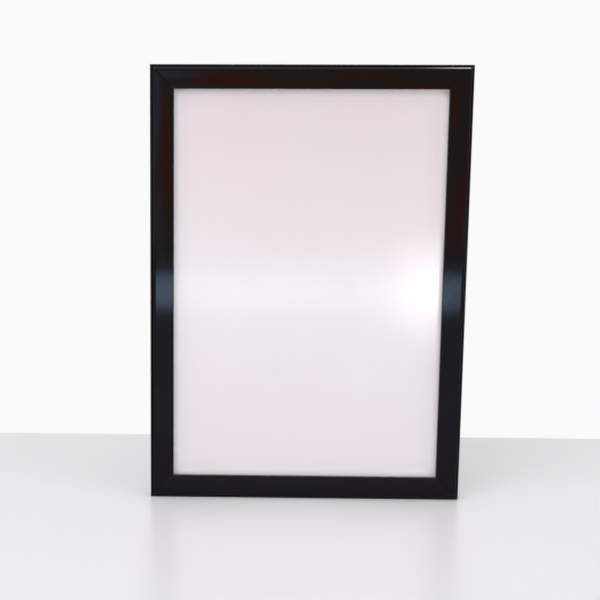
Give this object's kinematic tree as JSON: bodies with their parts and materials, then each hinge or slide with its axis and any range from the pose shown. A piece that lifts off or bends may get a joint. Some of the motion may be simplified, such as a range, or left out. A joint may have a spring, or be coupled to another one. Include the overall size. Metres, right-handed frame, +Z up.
{
  "type": "illuminated poster frame",
  "caption": "Slim edge-lit poster frame, black gloss mitred rails that hinge open from the front, over a white translucent panel.",
  "frame": {"origin": "middle of the underside, at the bottom edge of the frame", "axes": "+Z up along the tall side, +X to the right seen from the front, the face looks towards -Y"},
  "size_m": [0.327, 0.022, 0.45],
  "materials": {
    "gloss_black": "high gloss black",
    "satin_black": "satin black",
    "clear_plastic": "clear sheet",
    "opal_acrylic": "opal, satin",
    "clear_acrylic": "clear, dotted back",
    "white_film": "matt white",
    "grey_panel": "fine grained grey",
    "white_foam": "closed cell foam",
    "plain_steel": "zinc plated",
    "screw_steel": "bright plated",
    "spring_steel": "bright spring strip",
    "white_board": "white board with yellow chips",
    "moulded_black": "moulded",
    "plated_brass": "bright plated",
    "red_sleeve": "smooth sleeve",
    "black_sleeve": "smooth sleeve"
  },
  "bodies": {
    "frame": {"back_panel": "grey_panel", "base_rail_bottom": "satin_black", "base_rail_left": "satin_black", "base_rail_right": "satin_black", "base_rail_top": "satin_black", "corner_key_bottom_left": "plain_steel", "corner_key_bottom_right": "plain_steel", "corner_key_top_left": "plain_steel", "corner_key_top_right": "plain_steel", "corner_screw_bottom_1": "screw_steel", "corner_screw_bottom_2": "screw_steel", "corner_screw_left_1": "screw_steel", "corner_screw_left_2": "screw_steel", "corner_screw_right_1": "screw_steel", "corner_screw_right_2": "screw_steel", "corner_screw_top_1": "screw_steel", "corner_screw_top_2": "screw_steel", "cover_sheet": "clear_plastic", "diffuser_panel": "opal_acrylic", "hanger_plate_side_lower": "plain_steel", "hanger_plate_side_upper": "plain_steel", "hanger_plate_top_left": "plain_steel", "hanger_plate_top_right": "plain_steel", "hanger_screw_side_lower_1": "screw_steel", "hanger_screw_side_lower_2": "screw_steel", "hanger_screw_side_upper_1": "screw_steel", "hanger_screw_side_upper_2": "screw_steel", "hanger_screw_top_left_1": "screw_steel", "hanger_screw_top_left_2": "screw_steel", "hanger_screw_top_right_1": "screw_steel", "hanger_screw_top_right_2": "screw_steel", "inlet_body": "moulded_black", "inlet_contact": "plated_brass", "inlet_pin": "plated_brass", "inlet_screw_lower": "screw_steel", "inlet_screw_upper": "screw_steel", "lead_left": "black_sleeve", "lead_right": "red_sleeve", "led_strip_left": "white_board", "led_strip_right": "white_board", "light_guide": "clear_acrylic", "packer_bottom": "white_foam", "packer_top": "white_foam", "reflector_sheet": "white_film", "snap_clip_bottom_1": "spring_steel", "snap_clip_bottom_2": "spring_steel", "snap_clip_left_1": "spring_steel", "snap_clip_left_2": "spring_steel", "snap_clip_left_3": "spring_steel", "snap_clip_right_1": "spring_steel", "snap_clip_right_2": "spring_steel", "snap_clip_right_3": "spring_steel", "snap_clip_top_1": "spring_steel", "snap_clip_top_2": "spring_steel"},
    "snap_top": {"snap_rail_top": "gloss_black"},
    "snap_bottom": {"snap_rail_bottom": "gloss_black"},
    "snap_left": {"snap_rail_left": "gloss_black"},
    "snap_right": {"snap_rail_right": "gloss_black"}
  },
  "joints": [
    {"name": "snap_top_hinge", "type": "hinge", "parent": "frame", "child": "snap_top", "pos_m": [0, -0.0064, 0.4438], "axis": [-1, 0, 0], "range_deg": [0, 90]},
    {"name": "snap_bottom_hinge", "type": "hinge", "parent": "frame", "child": "snap_bottom", "pos_m": [0, -0.0064, 0.0062], "axis": [1, 0, 0], "range_deg": [0, 90]},
    {"name": "snap_left_hinge", "type": "hinge", "parent": "frame", "child": "snap_left", "pos_m": [-0.1573, -0.0064, 0.225], "axis": [0, 0, -1], "range_deg": [0, 90]},
    {"name": "snap_right_hinge", "type": "hinge", "parent": "frame", "child": "snap_right", "pos_m": [0.1573, -0.0064, 0.225], "axis": [0, 0, 1], "range_deg": [0, 90]}
  ]
}
